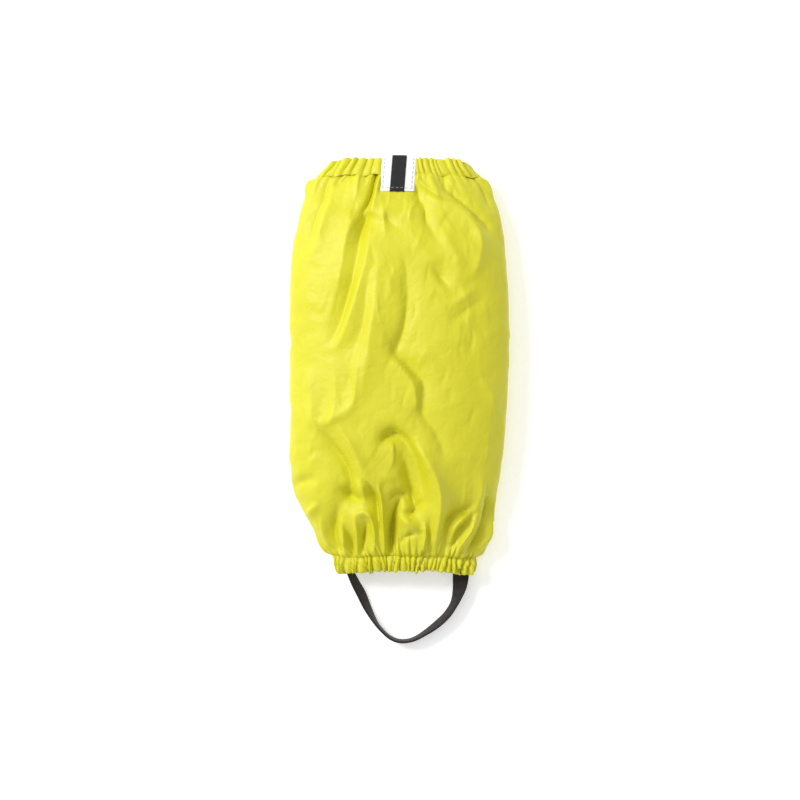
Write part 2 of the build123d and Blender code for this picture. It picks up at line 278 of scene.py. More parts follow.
# Each fold is a line down or across the front. A ridge has positive heights and a valley
# negative ones. Its sides fall away over their own widths, left and right of its run.
FOLDS = (
    # (width on the left, width on the right, softness of the line), (x, y, height) ...
    # the crease beside the tab, its bright shoulder and the hollow at its foot
    ((2.6, 1.5, 0.3), (-16.0, 161, -1.6), (-16.8, 156, -3.2), (-18.3, 150, -3.2),
     (-20.4, 142, -3.0), (-23.2, 135.4, -2.6), (-26.0, 130, -1.2)),
    ((5.5, 2.0, 0.6), (-13.5, 156, 1.2), (-15.4, 148, 2.0), (-17.5, 140, 2.0),
     (-19.8, 132, 1.2), (-22, 128, 0)),
    ((5.0, 4.0, 1.0), (-21.5, 131, -0.6), (-24.5, 125, -3.0), (-27, 118, -2.2), (-29, 108, -0.6)),
    # the long valley down the left of the front, and the ridges on either side of it
    ((5.0, 5.0, 1.0), (-25, 126, -0.6), (-27.5, 114.6, -1.3), (-30.2, 99.6, -1.3),
     (-32.5, 85.7, -1.5), (-36.0, 73, -2.4), (-39.3, 61, -2.2), (-43.8, 48, -1.6),
     (-50, 37.5, 0)),
    ((8.0, 3.4, 0.8), (-19.4, 124, 0), (-21.9, 108, 1.0), (-24.5, 92, 1.3), (-28.2, 79, 1.8),
     (-31.8, 66, 2.2), (-35.8, 54, 2.0), (-40.5, 43, 1.2), (-47, 31, 0)),
    ((4.2, 9.0, 1.0), (-30, 127, 0.5), (-33.2, 121.8, 1.5), (-36.5, 113, 1.4),
     (-39, 99.6, 1.2), (-41.5, 83.6, 1.2), (-45.5, 66, 0.6)),
    ((5.0, 5.0, 1.5), (-17.6, 99.6, 0), (-23, 76, -0.9), (-24.5, 57, -1.2),
     (-29, 40.7, -1.1), (-37, 20.7, 0)),
    ((9.0, 8.0, 2.0), (-14, 104, 0.2), (-17.2, 68, 1.6), (-20.5, 46, 1.9), (-23.4, 21, 1.3),
     (-27, -2, 0)),
    # the upper left
    ((3.6, 4.2, 1.0), (-48.6, 155.4, -0.8), (-52.4, 146.8, -1.7), (-54.5, 136, -1.5),
     (-59, 126, -1.5), (-61.5, 114.6, -1.1), (-63, 103, 0)),
    ((5.0, 4.0, 0.8), (-46.6, 143, 0.4), (-50.9, 131, 1.4), (-54, 119, 1.3),
     (-58.3, 106, 0.9), (-63, 92, 0)),
    ((1.8, 2.4, 0.4), (-46.5, 150.8, -0.3), (-41.5, 150.6, -1.3), (-37.6, 153.4, -1.2),
     (-35.4, 156.5, -0.5)),
    ((1.5, 2.0, 0.4), (-45.6, 154.8, -0.3), (-41.7, 155.2, -0.9), (-38.5, 158, -0.4)),
    ((1.8, 1.8, 0.4), (-31.4, 157, -1.3), (-32.2, 149, 0)),
    ((1.8, 1.8, 0.4), (-23.8, 157, -1.3), (-24.4, 148, 0)),
    ((2.4, 2.4, 0.5), (-27.8, 156, 0.8), (-29.4, 146, 0.9), (-31, 136, 0)),
    # under the tab and to its right
    ((3.0, 4.0, 0.8), (-9.5, 130, 0), (-7.6, 123.6, -1.2), (-0.8, 118.6, -0.3)),
    ((3.5, 3.0, 0.8), (-12, 137, 0.2), (-11, 124, 1.0), (-9.5, 110, 0)),
    ((5.0, 4.0, 1.0), (12.4, 150, -1.2), (13.5, 139.3, -1.7), (17.4, 131.8, -1.5),
     (19, 123.2, -1.4), (23.2, 114.6, -0.9), (28, 106, 0)),
    ((2.8, 1.8, 0.3), (11.4, 153.5, 1.3), (16.7, 147.9, 1.9), (25.3, 141.4, 1.5),
     (34.5, 137.8, 0.2)),
    ((6.0, 6.0, 0.8), (18.4, 155, 0.8), (24.2, 147.2, 1.4), (29.6, 142.7, 1.7),
     (37.1, 137.1, 2.0), (44.6, 131, 2.0), (51, 123, 2.0), (54.6, 113.6, 2.0),
     (55.3, 104, 1.8), (53, 93, 1.3), (48.5, 82, 0)),
    ((3.0, 3.4, 0.6), (30.2, 155, -1.2), (32.0, 145.7, -1.4), (39.2, 139.6, -1.7),
     (47.8, 132.6, -1.8), (57, 124, -1.5), (65, 116, -0.3)),
    ((2.2, 2.6, 0.5), (46.5, 157, -1.0), (54, 153, -1.2), (58.5, 146, -1.2),
     (62, 137.5, -0.8), (66, 130, 0)),
    ((5.0, 3.0, 0.8), (21, 95, 0), (28, 85, -1.6), (35.5, 76, 0)),
    ((7.0, 7.0, 2.0), (27, 121, 0.2), (36, 104, 1.2), (40, 92, 0.8), (38, 78, 0)),
    # down the middle
    ((10.0, 4.0, 1.0), (1.4, 104, 0), (4.4, 89, -1.0), (4.9, 67.5, -1.7), (3.0, 51.4, -2.1),
     (-0.6, 40.5, -2.2), (-4.5, 33.5, -0.8)),
    ((9.0, 3.2, 1.6), (-5, 36, -0.8), (-2.0, 31, -2.0), (4.4, 25, -2.5), (11, 18.4, -2.4),
     (16.2, 10.5, -1.9), (15.6, 0.4, -1.6), (16.2, -10.4, -1.5), (23, -19.5, -1.2),
     (28.5, -31.8, -0.8), (32, -42, 0)),
    ((3.0, 3.0, 0.4), (-8, 30, 0), (-1.4, 24, 1.3), (7, 14, 1.5), (11, 2, 1.0), (11, -12, 0)),
    ((2.4, 3.0, 0.4), (33, 64, 0), (44.2, 71.2, 1.0), (55, 78.6, 0)),
    ((2.2, 3.0, 0.4), (33, 52.6, 0), (44.2, 60.2, -0.9), (61, 73.2, 0)),
    ((3.0, 4.0, 0.6), (58, 14, 0), (64, 2, 0.8), (67, -12, 0)),
    # facets on the left
    ((6.0, 6.0, 0.4), (-68.5, 26, 0), (-61.4, 6.5, 1.3), (-57.4, -15.5, 1.6),
     (-44.4, -12.5, 1.5), (-32.5, -3.5, 1.4), (-30.2, 13, 1.0), (-28, 36, 0)),
    ((5.0, 5.0, 0.8), (-46, 32, 0), (-44.5, 12, 0.7), (-45.5, -10, 0.9), (-50, -18, 0)),
    ((4.0, 6.5, 0.8), (-55.5, -21, -0.6), (-46.5, -33, -2.2), (-38.6, -44.6, -2.5),
     (-35, -56, -2.0), (-37, -67, -1.4)),
    ((6.5, 3.6, 0.6), (-46, -15.5, 0.6), (-36.6, -27.4, 1.8), (-30, -39, 2.0),
     (-25.6, -48.5, 1.8), (-18, -59, 1.5), (-13.3, -66, 0.6)),
    # the left of the two arches above the bottom hem
    ((5.0, 4.5, 0.8), (-42, -60, -0.4), (-35.5, -66.5, -2.8), (-28, -68.5, -1.6),
     (-21, -67, -0.9)),
    ((2.2, 6.0, 0.5), (-27, -55.5, -0.4), (-20.8, -60.6, -1.8), (-17, -68.5, -2.8),
     (-15.5, -79, -2.2), (-14.6, -90, -0.9)),
    ((4.0, 4.0, 0.6), (-33, -56, 0), (-27, -60, 1.3), (-25, -68, 1.0), (-27, -75, 0)),
    ((2.0, 2.0, 0.3), (-14.4, -60, 0.6), (-12.4, -72.5, 2.0), (-11.3, -86.4, 2.4),
     (-10.6, -99.3, 1.8), (-10.4, -108, 0.8)),
    ((3.0, 3.2, 0.6), (2.2, -65.5, -0.6), (-3.0, -74.5, -2.8), (-5.4, -86.4, -3.8),
     (-6.4, -99.3, -3.0), (-6.8, -108, -1.4)),
    ((1.6, 2.6, 0.4), (-8, -71, -0.2), (-4.2, -65.8, -1.4), (1.4, -64.4, -1.5), (6, -69, -0.2)),
    # the right arch
    ((2.6, 7.5, 1.4), (-14, -31, -0.8), (-9.6, -25, -3.0), (-3.8, -23.2, -3.8),
     (2.0, -26.2, -3.6), (8.6, -34.5, -3.2), (12.6, -46, -2.4), (15.6, -58, -1.8),
     (17, -70, -0.3)),
    ((7.0, 5.5, 1.2), (4.6, -28, 0.8), (12.8, -35.8, 2.2), (19.6, -45.8, 2.8),
     (24.6, -56.6, 3.0), (26.8, -68.2, 3.0), (26.5, -83.2, 2.5), (24.6, -97, 1.6),
     (22.8, -107, 0.6)),
    ((6.0, 6.0, 1.5), (2.4, -38, -1.2), (6.1, -55, -3.0), (9.5, -69, -3.2), (10.5, -77, -1.0)),
    ((1.6, 3.2, 0.4), (1.0, -79.6, -0.2), (8.8, -77.6, -1.7), (14.9, -71, -0.8)),
    ((3.4, 3.4, 0.8), (0.2, -82.5, 0.6), (6, -85.5, 1.7), (12.5, -91.5, 1.0)),
    ((1.7, 1.8, 0.4), (1.2, -99, -0.4), (7, -94, -1.3), (15, -92.8, -0.3)),
    ((2.0, 2.0, 0.4), (16, -84, 0), (17.6, -94, 1.2), (16, -105, 0.8)),
    ((2.0, 2.4, 0.5), (21.2, -80, 0), (20.4, -92, -1.2), (19.6, -106, -0.9)),
    # the lower right
    ((4.4, 3.0, 0.6), (31.6, -101, -0.9), (32.6, -88, -2.0), (38, -80, -2.6),
     (45.4, -77.2, -2.3), (51.5, -73, -0.6)),
    ((2.6, 2.6, 0.5), (37.4, -101, -1.3), (41, -92, -1.9), (46.5, -86, -1.5), (52.8, -79, -0.5)),
    ((2.4, 2.4, 0.4), (35, -99, 0.6), (38, -88.5, 1.5), (45, -82, 1.2), (50, -79, 0)),
    ((2.4, 2.6, 0.3), (53.4, -81, 0.5), (47.8, -92, 2.0), (41.2, -101, 1.6), (38, -108, 0.6)),
    ((3.4, 3.0, 0.5), (60.4, -65.8, -0.8), (62.8, -73, -2.6), (60.4, -82, -2.2),
     (57, -90.5, -1.0)),
    ((2.0, 2.0, 0.4), (58.8, -88.6, -1.0), (53.4, -98, -1.9), (47.6, -105, -1.0)),
    ((2.2, 2.2, 0.3), (64.8, -84, 0.4), (61, -94.6, 1.5), (54, -103.6, 1.2)),
    ((5.0, 4.0, 1.0), (54, -50, 0), (56.4, -64, 1.2), (53, -76, 0.8)),
    # the lower left
    ((3.4, 3.4, 0.6), (-43.4, -75, -0.8), (-47, -86, -2.2), (-46.4, -96.5, -1.7),
     (-42.4, -106, -0.8)),
    ((3.4, 3.0, 0.5), (-55, -80, 0), (-53.5, -91, 1.3), (-48.8, -102, 0.9)),
    ((2.4, 2.6, 0.4), (-65, -83, 0), (-60, -77, 1.3), (-55.5, -71.5, 0)),
    ((2.0, 2.0, 0.4), (-38.6, -89, -0.5), (-34.6, -98.6, -1.9), (-33, -108, -1.1)),
    ((2.2, 2.2, 0.4), (-41.4, -84, 0.4), (-38.9, -96, 1.5), (-37.4, -107, 0.9)),
    ((2.0, 2.0, 0.4), (-23.4, -84.6, -0.6), (-25.4, -94, -1.9), (-26.4, -106, -1.1)),
    ((2.2, 2.4, 0.4), (-32, -81, 0.6), (-24.4, -78.4, 1.7), (-19.2, -83.6, 1.8),
     (-17.2, -94, 1.3), (-17.6, -106, 0.8)),
    ((2.2, 2.2, 0.4), (-31, -84, 0.8), (-29.4, -95, 1.4), (-29.2, -107, 0.8)),
    ((2.0, 4.0, 0.4), (-74.6, -58.4, -0.9), (-65, -55.2, -1.1), (-57, -55.6, 0)),
)


FOLD_STRENGTH = 2.3                 # folds are this many times as high as their table says
LOWER_STRENGTH = 0.9                # added to that near the bottom hem
CRUMPLES, CRUMPLE_SEED = 560, 41


def crumples(count, seed):
    """Small creases all round the leg, as coated cloth keeps them. Their places are on the
    flat cloth: millimetres round the leg and along it."""
    rng = np.random.default_rng(seed)
    creases = []
    for _ in range(count):
        round_leg, y = rng.uniform(15, CUT_WIDTH - 15), rng.uniform(BOTTOM_SEAM_Y, TOP_SEAM_Y)
        lean, reach = rng.normal(0, 0.75), rng.uniform(5, 17)
        bend, height = rng.normal(0, 0.3), rng.uniform(0.2, 0.85) * rng.choice([-1, 1])
        along = np.array([np.sin(lean), np.cos(lean)])
        aside = np.array([along[1], -along[0]])
        middle = np.array([round_leg, y]) + aside * bend * reach / 2
        line = [tuple(middle - along * reach - aside * bend * reach) + (0,),
                tuple(middle) + (height,),
                tuple(middle + along * reach - aside * bend * reach) + (0,)]
        left, right = rng.uniform(0.8, 4.0, 2)
        creases.append(((left, right, 0.3), *line))
    return creases


def fold_rise(folds, x, y):
    """Height of folds at places of the cloth."""
    rise = np.zeros(x.shape)
    for (left, right, softness), *points in folds:
        line = smooth_curve(points, 6)
        reach = 3.2 * max(left, right)
        low, high = line[:, :2].min(0) - reach, line[:, :2].max(0) + reach
        near = (x > low[0]) & (x < high[0]) & (y > low[1]) & (y < high[1])
        if not near.any():
            continue
        place = np.stack([x[near], y[near]], 1)[:, None]
        start, run = line[:-1, :2], np.diff(line[:, :2], axis=0)
        t = np.clip(((place - start) * run).sum(2) / (run**2).sum(1), 0, 1)
        away = place - start - t[..., None] * run
        distance = np.hypot(away[..., 0], away[..., 1])
        nearest = distance.argmin(1)
        every = np.arange(len(nearest))
        d, t, run = distance[every, nearest], t[every, nearest], run[nearest]
        away = away[every, nearest]
        on_left = run[:, 0] * away[:, 1] - run[:, 1] * away[:, 0] > 0
        height = line[nearest, 2] * (1 - t) + line[nearest + 1, 2] * t
        width = np.where(on_left, left, right)
        fall = (np.hypot(d, softness * 0.7) - softness * 0.7) / width
        rise[near] += height * np.exp(-1.15 * fall)
    return rise


# ---- mesh making ----------------------------------------------------------------------------


def new_piece(name, vertices, faces, material):
    """A mesh object of its own from points in millimetres, facing outwards as given."""
    mesh = bpy.data.meshes.new(name)
    mesh.from_pydata((np.asarray(vertices, float) * MM).tolist(), [], faces)
    mesh.validate()
    mesh.materials.append(material)
    mesh.polygons.foreach_set("use_smooth", [True] * len(mesh.polygons))
    piece = bpy.data.objects.new(name, mesh)
    bpy.context.scene.collection.objects.link(piece)
    return piece


def grid_faces(rows, columns, closed):
    """Four-sided faces of a grid of points, whose rows are closed rings or open lines."""
    across = columns if closed else columns - 1
    r, c = np.meshgrid(np.arange(rows - 1), np.arange(across), indexing="ij")
    a, b = r * columns + c, r * columns + (c + 1) % columns
    return np.stack([a, b, b + columns, a + columns], -1).reshape(-1, 4).tolist()


def lay_uv(piece, u, v):
    """Gives the piece a UV map in metres of cloth, from its vertices' own places on it. A
    four-sided face that closes a ring goes on past the map's edge, not back across it."""
    mesh = piece.data
    layer = mesh.uv_layers.new(name="Cloth")
    corner = np.zeros(len(mesh.loops), np.int32)
    mesh.loops.foreach_get("vertex_index", corner)
    along = np.asarray(u, float)[corner]
    starts = np.zeros(len(mesh.polygons), np.int32)
    totals = np.zeros(len(mesh.polygons), np.int32)
    mesh.polygons.foreach_get("loop_start", starts)
    mesh.polygons.foreach_get("loop_total", totals)
    span = np.ptp(np.asarray(u, float)) or 1.0
    for k in range(4):
        at = starts[totals == 4] + k
        first = along[starts[totals == 4]]
        jump = along[at] - first
        along[at] += np.where(jump < -span / 2, span, 0) - np.where(jump > span / 2, span, 0)
    uv = np.stack([along, np.asarray(v, float)[corner]], 1) * MM
    layer.data.foreach_set("uv", uv.astype(np.float32).ravel())


def thicken(piece, thickness, offset=-1.0):
    """Gives a sheet its thickness for good: inwards from its face, or outwards at offset 1."""
    wall = piece.modifiers.new("Thickness", "SOLIDIFY")
    wall.thickness, wall.offset = thickness * MM, offset
    apply_modifiers(piece)


def apply_modifiers(piece):
    """Makes all the modifiers of a piece part of its mesh."""
    graph = bpy.context.evaluated_depsgraph_get()
    mesh = bpy.data.meshes.new_from_object(piece.evaluated_get(graph))
    old, piece.data = piece.data, mesh
    piece.modifiers.clear()
    bpy.data.meshes.remove(old)
    mesh.name = piece.name


# ---- materials ---------------------------------------------------------------------------------


def srgb(code):
    """A colour given as an sRGB hex value, as linear light."""
    parts = [int(code[i : i + 2], 16) / 255 for i in (1, 3, 5)]
    return [c / 12.92 if c <= 0.04045 else ((c + 0.055) / 1.055) ** 2.4 for c in parts] + [1]


def add_node(tree, kind, links=(), inputs=(), **settings):
    """Adds a node. links are (socket, other node, its output); inputs are (socket, value)."""
    node = tree.nodes.new(kind)
    for key, value in settings.items():
        setattr(node, key, value)
    for socket, value in inputs:
        node.inputs[socket].default_value = value
    for socket, other, output in links:
        tree.links.new(other.outputs[output], node.inputs[socket])
    return node


def new_material(name, colour, roughness, ior=1.5, **settings):
    """A Principled material with its plain numbers set on the shader itself."""
    material = bpy.data.materials.new(name)
    material.use_nodes = True
    tree = material.node_tree
    shader = tree.nodes["Principled BSDF"]
    shader.inputs["Base Color"].default_value = srgb(colour)
    shader.inputs["Roughness"].default_value = roughness
    shader.inputs["IOR"].default_value = ior
    for key, value in settings.items():
        shader.inputs[key.replace("_", " ")].default_value = value
    return material, tree, shader


def two_tone(tree, shader, low, high, node, output):
    """Colours a material between two hex colours, by a node's output from 0 to 1."""
    tint = add_node(tree, "ShaderNodeMix", data_type="RGBA")
    tree.links.new(node.outputs[output], tint.inputs[0])
    tint.inputs[6].default_value, tint.inputs[7].default_value = srgb(low), srgb(high)
    tree.links.new(tint.outputs[2], shader.inputs["Base Color"])


WEAVE = 0.7                         # millimetres between the threads as drawn: really 0.2
WAVE_BANDS = 20                     # a wave texture has this many bands per unit


def coated_polyester():
    """Polyurethane-coated polyester, plain woven and calendered: a close, slightly glossy
    yellow-green cloth that shows its crumples more than its threads."""
    material, tree, shader = new_material("coated polyester plain weave", "#c8c237", 0.5)
    cloth = add_node(tree, "ShaderNodeUVMap", uv_map="Cloth")
    place = add_node(tree, "ShaderNodeTexCoord")
    # the dye is a little uneven over hand-sized patches
    patches = add_node(tree, "ShaderNodeTexNoise", [("Vector", place, "Object")],
                       [("Scale", 1 / (38 * MM)), ("Detail", 3.0)])
    two_tone(tree, shader, "#d0cb1c", "#d9d52c", patches, "Fac")
    # the coating has rubbed here and there, so its gloss varies
    wear = add_node(tree, "ShaderNodeTexNoise", [("Vector", place, "Object")],
                    [("Scale", 1 / (9 * MM)), ("Detail", 4.0)])
    gloss = add_node(tree, "ShaderNodeMapRange", [("Value", wear, "Fac")],
                     [("To Min", 0.46), ("To Max", 0.6)])
    tree.links.new(gloss.outputs["Result"], shader.inputs["Roughness"])
    # the weave is drawn coarser than it is, so that it shows
    weave = []
    for angle in (0.0, pi / 2):
        turned = add_node(tree, "ShaderNodeMapping", [("Vector", cloth, "UV")],
                          [("Rotation", (0, 0, angle)),
                           ("Scale", (1 / MM / WEAVE / WAVE_BANDS,) * 3)])
        weave.append(add_node(tree, "ShaderNodeTexWave", [("Vector", turned, "Vector")],
                              [("Scale", 1.0), ("Distortion", 0.6), ("Detail", 1.0)]))
    both = add_node(tree, "ShaderNodeMath", [(0, weave[0], "Fac"), (1, weave[1], "Fac")],
                    operation="MULTIPLY")
    # small sharp crumples, about 13 mm across, that coated cloth keeps from being packed
    warp = add_node(tree, "ShaderNodeTexNoise", [("Vector", place, "Object")],
                    [("Scale", 1 / (12 * MM)), ("Detail", 2.0)])
    shifted = add_node(tree, "ShaderNodeMix", [], [("Factor", 0.012)], data_type="VECTOR")
    tree.links.new(place.outputs["Object"], shifted.inputs[4])
    tree.links.new(warp.outputs["Color"], shifted.inputs[5])
    cells = add_node(tree, "ShaderNodeTexVoronoi", [], [("Scale", 1 / (13 * MM))],
                     feature="DISTANCE_TO_EDGE")
    tree.links.new(shifted.outputs[1], cells.inputs["Vector"])
    crease = add_node(tree, "ShaderNodeMapRange", [("Value", cells, "Distance")],
                      [("From Max", 0.22)])
    soft = add_node(tree, "ShaderNodeTexNoise", [("Vector", place, "Object")],
                    [("Scale", 1 / (7 * MM)), ("Detail", 5.0), ("Roughness", 0.55)])
    crumple = add_node(tree, "ShaderNodeBump", [("Height", crease, "Result")],
                       [("Strength", 0.22), ("Distance", 0.6 * MM)])
    ripple = add_node(tree, "ShaderNodeBump",
                      [("Height", soft, "Fac"), ("Normal", crumple, "Normal")],
                      [("Strength", 0.5), ("Distance", 1.0 * MM)])
    threads = add_node(tree, "ShaderNodeBump", [("Height", both, 0), ("Normal", ripple, "Normal")],
                       [("Strength", 0.16), ("Distance", 0.12 * MM)])
    tree.links.new(threads.outputs["Normal"], shader.inputs["Normal"])
    return material


def ribbed(name, colour, highlight_colour, roughness, pitch, depth, sheen=0.3):
    """A narrow woven band whose ribs lie straight across it, pitch millimetres apart: matt,
    with a little fuzz that mottles its colour, and a painted highlight that makes the ribs' tops
    paler."""
    material, tree, shader = new_material(name, colour, roughness, 1.5, Sheen_Weight=sheen,
                                          Sheen_Roughness=0.5)
    cloth = add_node(tree, "ShaderNodeUVMap", uv_map="Cloth")
    ribs = add_node(tree, "ShaderNodeMapping", [("Vector", cloth, "UV")],
                    [("Scale", (1 / MM / pitch / WAVE_BANDS,) * 3)])
    across = add_node(tree, "ShaderNodeTexWave", [("Vector", ribs, "Vector")],
                      [("Scale", 1.0), ("Distortion", 0.35), ("Detail", 1.0)],
                      bands_direction="Y")
    ends = add_node(tree, "ShaderNodeTexWave", [("Vector", ribs, "Vector")],
                    [("Scale", 0.62), ("Distortion", 0.8), ("Detail", 1.5)],
                    bands_direction="X")
    fuzz = add_node(tree, "ShaderNodeTexNoise", [("Vector", cloth, "UV")],
                    [("Scale", 1 / (0.9 * MM)), ("Detail", 3.0)])
    mixed = add_node(tree, "ShaderNodeMath", [(0, across, "Fac"), (1, ends, "Fac")],
                     operation="MULTIPLY_ADD")
    tree.links.new(fuzz.outputs["Fac"], mixed.inputs[2])
    # painted highlight: the colour turns paler where the ribs rise, mottled by the fuzz noise
    shade = add_node(tree, "ShaderNodeMapRange", [("Value", mixed, 0)],
                     [("From Min", 0.3), ("From Max", 1.6)])
    two_tone(tree, shader, colour, highlight_colour, shade, "Result")
    bump = add_node(tree, "ShaderNodeBump", [("Height", mixed, 0)],
                    [("Strength", 0.5), ("Distance", depth * MM)])
    tree.links.new(bump.outputs["Normal"], shader.inputs["Normal"])
    return material


def reflective_film():
    """Retroreflective tape: glass beads bonded to a woven backing, so a pale silver-white
    film with a very fine grain."""
    material, tree, shader = new_material("retroreflective tape", "#f4f4f2", 0.34, 1.5,
                                          Coat_Weight=0.3, Coat_Roughness=0.25)
    cloth = add_node(tree, "ShaderNodeUVMap", uv_map="Cloth")
    grain = add_node(tree, "ShaderNodeTexVoronoi", [("Vector", cloth, "UV")],
                     [("Scale", 1 / (0.6 * MM))])
    two_tone(tree, shader, "#f8f8f6", "#e6e7e8", grain, "Distance")
    bump = add_node(tree, "ShaderNodeBump", [("Height", grain, "Distance")],
                    [("Strength", 0.2), ("Distance", 0.1 * MM)])
    tree.links.new(bump.outputs["Normal"], shader.inputs["Normal"])
    return material


def sewing_thread(name, colour):
    """Spun polyester thread: two plies twisted, matt with a soft sheen."""
    material, tree, shader = new_material(name, colour, 0.6, 1.5, Sheen_Weight=0.4)
    place = add_node(tree, "ShaderNodeTexCoord")
    twist = add_node(tree, "ShaderNodeTexNoise", [("Vector", place, "Object")],
                     [("Scale", 1 / (0.35 * MM)), ("Detail", 2.0)])
    bump = add_node(tree, "ShaderNodeBump", [("Height", twist, "Fac")],
                    [("Strength", 0.4), ("Distance", 0.1 * MM)])
    tree.links.new(bump.outputs["Normal"], shader.inputs["Normal"])
    return material


def sealing_tape():
    """Hot-melt seam tape: a thin translucent film, pale and a little glossy."""
    material, tree, shader = new_material("hot-melt seam tape", "#cfcaa0", 0.3, 1.5)
    place = add_node(tree, "ShaderNodeTexCoord")
    cockle = add_node(tree, "ShaderNodeTexNoise", [("Vector", place, "Object")],
                      [("Scale", 1 / (5 * MM)), ("Detail", 3.0)])
    bump = add_node(tree, "ShaderNodeBump", [("Height", cockle, "Fac")],
                    [("Strength", 0.3), ("Distance", 0.3 * MM)])
    tree.links.new(bump.outputs["Normal"], shader.inputs["Normal"])
    return material


POLYESTER = coated_polyester()
# the second colour of each ribbed band is a painted highlight on the ribs' tops
STRAP_ELASTIC = ribbed("knitted elastic charcoal", "#130a0a", "#261a1a", 0.8, 1.0, 0.16,
                       sheen=0.08)
HEM_ELASTIC = ribbed("braided elastic white", "#d8d6ce", "#efeee8", 0.7, 1.2, 0.2)
GROSGRAIN = ribbed("grosgrain ribbon black", "#050404", "#151112", 0.7, 0.95, 0.14, sheen=0.05)
REFLECTIVE = reflective_film()
YELLOW_THREAD = sewing_thread("spun polyester thread yellow", "#cfc62a")
GREY_THREAD = sewing_thread("spun polyester thread grey", "#8f8d8c")
SEAM_TAPE = sealing_tape()

# ---- leg panel: one sheet, gathered at both ends ------------------------------------------------

spread = np.linspace(-1, 1, ROWS)
ROW_SHARE = 0.5 + 0.5 * (0.45 * spread + 0.55 * np.sin(spread * pi / 2))
PANEL_LOW, PANEL_HIGH = BOTTOM_SEAM_Y - TUCK, TOP_SEAM_Y + TUCK
panel_y = PANEL_LOW + ROW_SHARE * (PANEL_HIGH - PANEL_LOW)
even_share = np.arange(COLUMNS) / COLUMNS
column_share = even_share + FRONT_DETAIL * np.sin(2 * pi * even_share) / (2 * pi)

RUFFLES_TO = 40.0                   # the hems' ruffles and slope are gone this far down the leg
PANEL_RUFFLES = {"top": 0.8, "bottom": 1.1}     # height of the ruffles' ends on the panel


def gather(points, plain, outward, row, end):
    """Ruffles, puffs and slopes one row of the panel towards one of its hems."""
    y = panel_y[row]
    inside = (TOP_SEAM_Y - y) if end == "top" else (y - BOTTOM_SEAM_Y)
    if inside > RUFFLES_TO:
        return
    ruffle = RUFFLES[end].rise(column_share, 0.5 * min(0, inside) / 6, max(inside, 0))
    # under the hem, they are lower than the hem's own ruffles, so that they stay inside it
    tucked = 0.35 + 0.65 * smoothstep(-1.0, 1.2, inside)
    ruffle = ruffle * PANEL_RUFFLES[end] * tucked * (1 - 0.7 * under_tab(plain[row]))
    off_floor = smoothstep(0.0, 3.0, plain[row, :, 2]) * 0.75 + 0.25
    # the panel puffs up just past the seam, most of all at its sides, and its end dips inside
    side = smoothstep(0.7, 0.95, np.abs(outward[row, :, 0]))
    swell = smoothstep(-0.4, 2.6, inside) * smoothstep(18, 4, inside)
    puff = (1.3 + 1.7 * side) * swell - 0.1 - 0.5 * smoothstep(0.4, -1.0, inside)
    pressed = 1 - 0.8 * under_tab(plain[row])
    points[row] += outward[row] * (ruffle * off_floor + puff * pressed)[:, None]
    near = smoothstep(26, 0, inside)
    points[row, :, 1] += side_slope(plain[row], end == "top") * near


def shape_panel():
    """The leg panel's points, with its folds and the ends of the ruffles, millimetres."""
    points, outward = leg_form(panel_y, column_share)
    plain = points.copy()
    facing = smoothstep(0.05, 0.5, outward[..., 2])
    strength = FOLD_STRENGTH + LOWER_STRENGTH * smoothstep(10, -55, plain[..., 1])
    rise = strength * fold_rise(FOLDS, plain[..., 0], plain[..., 1]) * facing
    small = fold_rise(crumples(CRUMPLES, CRUMPLE_SEED), *np.broadcast_arrays(
        CUT_WIDTH * column_share, plain[..., 1]))
    rise += small * (0.3 + 0.7 * smoothstep(1, 6, plain[..., 2]))
    rise *= 1 - 0.85 * under_tab(plain)
    points += outward * rise[..., None]
    for row in range(ROWS):
        for end in ("top", "bottom"):
            gather(points, plain, outward, row, end)
    points[..., 2] = np.maximum(points[..., 2], RESTS)
    return points


HOLD = 0.3                          # how firmly the cloth is held to its shaped folds
SPARE_MIDDLE, SPARE_ENDS = 0.010, 0.06      # share of spare cloth, down the leg and at its hems
SPARE_REACH = (60, 5)               # from this far off a hem to this near, it has more to spare
SETTLE_FRAMES = 8
SETTLE_BLUR = 5                     # the smallest ripples are the mesh's own, and are smoothed out
SETTLE_CAP = 4.0                    # millimetres that a point may move


